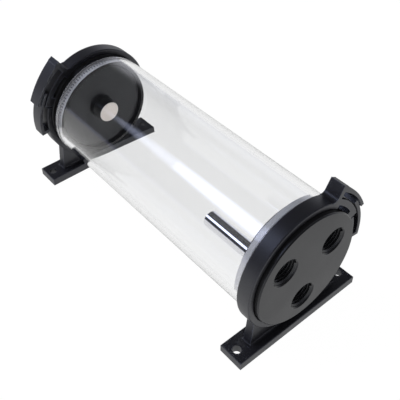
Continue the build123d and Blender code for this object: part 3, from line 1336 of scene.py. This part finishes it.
@dataclass(frozen=True)
class Lamp:
    """A soft square lamp, aimed at the object and hidden from glossy and transmission rays.

    Attributes:
        name: The lamp's name.
        place: Where it hangs, in metres.
        target: What it is aimed at, in metres.
        size: Its side, in metres.
        power: Its power, in watts.
        colour: Its colour, linear.
    """

    name: str
    place: tuple[float, float, float]
    target: tuple[float, float, float]
    size: float
    power: float
    colour: Rgb

    def build(self) -> None:
        """Hangs the lamp."""
        data = bpy.data.lights.new(self.name, "AREA")
        data.shape = "SQUARE"
        data.size = self.size
        data.energy = self.power
        data.color = self.colour
        obj = bpy.data.objects.new(self.name, data)
        bpy.context.collection.objects.link(obj)
        obj.visible_glossy = obj.visible_transmission = False
        obj.location = self.place
        obj.rotation_euler = (Vector(self.target) - obj.location).to_track_quat("-Z", "Y").to_euler()


@dataclass
class Studio:
    """White sweep, a soft lamp and the camera at the photograph's place.

    Attributes:
        azimuth: Camera's direction round the object in degrees, 0 looking along +Y.
        elevation: Its height above the horizon in degrees.
        roll: Its turn about its own axis.
        distance: Its distance from the aim point, in millimetres.
        aim: The aim point, off the frame's origin, in millimetres.
        slide: Offset of camera and aim to the right and up, in millimetres.
        focal_px: Focal length in pixels of the photograph's frame.
        frame_px: Side of that frame.
        centre_px: Where the optical axis meets it, from the left and top.
        sensor: Side of the camera's sensor, in millimetres.
        clip: Nearest distance that the camera shows, in metres.
        floor_size: Side of the floor, in metres.
        floor_paint: The floor's colour.
        floor_white: Share of the floor's white that hides its paint from the camera.
        floor_glow: The white's strength to the eye, through clear pieces and mirrored.
        room: The room's colour in reflections.
        horizon: The same, low down.
        horizon_h: Heights between which it fades, as the Z of a unit vector.
        sweep: The colour behind the object.
        sweep_h: Heights between which it fades.
        sweep_reach: How far it goes round, as the share of a unit vector that points away.
        softbox: The colour of a pale panel beside the object.
        softbox_turn: Its direction in degrees, from +X towards +Y.
        softbox_height: Its middle's height.
        softbox_side: How far it goes round, as the cosine to that direction.
        softbox_half: Half its height, at its ends and in its middle.
        softbox_edge: Share of that half from which it fades.
        fill: Strength of the even light on dull surfaces.
        lamp: The key lamp.
    """

    azimuth: float = 50.7727
    elevation: float = 41.8953
    roll: float = -1.0873
    distance: float = 303.606
    aim: tuple[float, float, float] = (47.92, 0.0, 38.5)
    slide: tuple[float, float] = (-24.803, 24.088)
    focal_px: float = 663.904
    frame_px: float = 400.0
    centre_px: tuple[float, float] = (194.065, 170.176)
    sensor: float = 36.0
    clip: float = 0.01
    floor_size: float = 6.0
    floor_paint: Rgb = (0.80, 0.80, 0.81)
    floor_white: float = 0.96
    floor_glow: tuple[float, float, float] = (1.03, 1.36, 0.70)
    room: Rgb = (0.045, 0.046, 0.052)
    horizon: Rgb = (0.55, 0.56, 0.75)
    horizon_h: tuple[float, float] = (0.02, 0.10)
    sweep: Rgb = (0.60, 0.61, 0.66)
    sweep_h: tuple[float, float] = (0.22, 0.50)
    sweep_reach: tuple[float, float] = (0.05, 0.55)
    softbox: Rgb = (2.0, 2.2, 3.0)
    softbox_turn: float = -136.0
    softbox_height: float = 0.70
    softbox_side: tuple[float, float] = (0.935, 0.995)
    softbox_half: tuple[float, float] = (0.03, 0.18)
    softbox_edge: float = 0.3
    fill: float = 0.4
    lamp: Lamp = Lamp("key_lamp", (-0.47, -0.45, 0.70), (0.02, 0, 0.035), 0.62, 3.6, (0.92, 0.94, 1.0))

    def camera(self) -> None:
        """Places the camera."""
        a, e = math.radians(self.azimuth), math.radians(self.elevation)
        back = Vector((math.sin(a) * math.cos(e), -math.cos(a) * math.cos(e), math.sin(e)))
        right = Vector((math.cos(a), math.sin(a), 0))
        up = back.cross(right)
        turn = Matrix.Rotation(math.radians(self.roll), 3, back)
        right, up = turn @ right, turn @ up
        place = Vector(self.aim) + back * self.distance + right * self.slide[0] + up * self.slide[1]
        data = bpy.data.cameras.new("photo_camera")
        data.sensor_width = self.sensor
        data.lens = self.focal_px / self.frame_px * self.sensor
        data.shift_x = (self.frame_px / 2 - self.centre_px[0]) / self.frame_px
        data.shift_y = (self.centre_px[1] - self.frame_px / 2) / self.frame_px
        data.clip_start = self.clip
        obj = bpy.data.objects.new("photo_camera", data)
        bpy.context.collection.objects.link(obj)
        obj.matrix_world = Matrix((right, up, back)).transposed().to_4x4()
        obj.location = place * MM
        bpy.context.scene.camera = obj

    def floor(self) -> None:
        """Pale floor that is plain white to the eye and a little darker through and in the pieces."""
        clear_selection()
        bpy.ops.mesh.primitive_plane_add(size=self.floor_size)
        plane = bpy.context.object
        plane.name = "studio_floor"
        n = Nodes.new(bpy.data.materials.new("white_sweep"))
        seen, through, mirrored = self.floor_glow
        path = n.add("LightPath").outputs
        glow = n.math("MULTIPLY", n.spread(path["Is Transmission Ray"], 0, 1, seen, through),
                      n.spread(path["Is Glossy Ray"], 0, 1, 1.0, mirrored / seen))
        light = n.add("Emission", {"Color": WHITE, "Strength": glow})
        paint = n.add("BsdfDiffuse", {"Color": (*self.floor_paint, 1)})
        share = n.spread(path["Is Camera Ray"], 0, 1, 0.0, self.floor_white)
        for ray in ("Is Transmission Ray", "Is Glossy Ray"):
            share = n.math("MAXIMUM", share, path[ray])
        plane.data.materials.append(n.close(n.blend(share, paint, light)))

    def panel(self, n: Nodes, way: bpy.types.NodeSocket, height: bpy.types.NodeSocket) -> bpy.types.NodeSocket:
        """Finds the pale panel beside the object.

        Args:
            n: The world's nodes.
            way: The direction looked in.
            height: Its Z.

        Returns:
            A factor, one on the panel.
        """
        side = math.radians(self.softbox_turn)
        level = n.vector("NORMALIZE", n.vector("MULTIPLY", way, (1, 1, 0)))
        beside = n.vector("DOT_PRODUCT", level, (math.cos(side), math.sin(side), 0))
        wide = n.spread(beside, *self.softbox_side, how="SMOOTHSTEP")
        off = n.math("ABSOLUTE", n.math("SUBTRACT", height, self.softbox_height))
        off = n.math("DIVIDE", off, n.spread(wide, 0, 1, *self.softbox_half, how="SMOOTHSTEP"))
        return n.math("MULTIPLY", n.spread(off, self.softbox_edge, 1, 1, 0, "SMOOTHSTEP"), wide)

    def world(self) -> None:
        """Dark room with a pale sweep behind the object, white to the eye and even for soft light."""
        world = bpy.data.worlds.new("studio")
        bpy.context.scene.world = world
        n = Nodes.new(world)
        turn = math.radians(self.azimuth)
        way = n.add("TexCoord").outputs["Generated"]
        height = n.add("SeparateXYZ", {0: way}).outputs["Z"]
        behind = n.vector("DOT_PRODUCT", way, (-math.sin(turn), math.cos(turn), 0))
        low = n.spread(height, *self.sweep_h, 1, 0, "SMOOTHSTEP")
        lit = n.math("MULTIPLY", n.spread(behind, *self.sweep_reach, how="SMOOTHSTEP"), low)
        colour = n.mix(n.spread(height, *self.horizon_h, 1, 0, "SMOOTHSTEP"), self.room, self.horizon)
        colour = n.mix(lit, colour, self.sweep)
        colour = n.mix(self.panel(n, way, height), colour, self.softbox)
        room = n.add("Background", {"Color": colour})
        white = n.add("Background", {"Color": WHITE, "Strength": 1.0})
        even = n.add("Background", {"Color": WHITE, "Strength": self.fill})
        path = n.add("LightPath").outputs
        mirrored = n.math("MAXIMUM", path["Is Glossy Ray"], path["Is Transmission Ray"])
        n.close(n.blend(path["Is Camera Ray"], n.blend(mirrored, even, room), white))

    def build(self) -> None:
        """Sets up floor, world, lamp and camera."""
        bpy.context.scene.view_settings.view_transform = "Standard"
        self.floor()
        self.world()
        self.lamp.build()
        self.camera()


def main() -> None:
    """Builds every piece round the frame."""
    logging.basicConfig(level=logging.INFO, format="%(name)s: %(message)s")
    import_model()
    layout = Layout.from_frame()
    shop = Workshop(axis_h=layout.axis_h)
    finishes = Finishes()
    Vessel(shop, layout, finishes).build()
    Caps(shop, layout, finishes).build()
    SnapBracket(shop, layout, finishes).build()
    Studio().build()


if __name__ == "__main__":
    main()
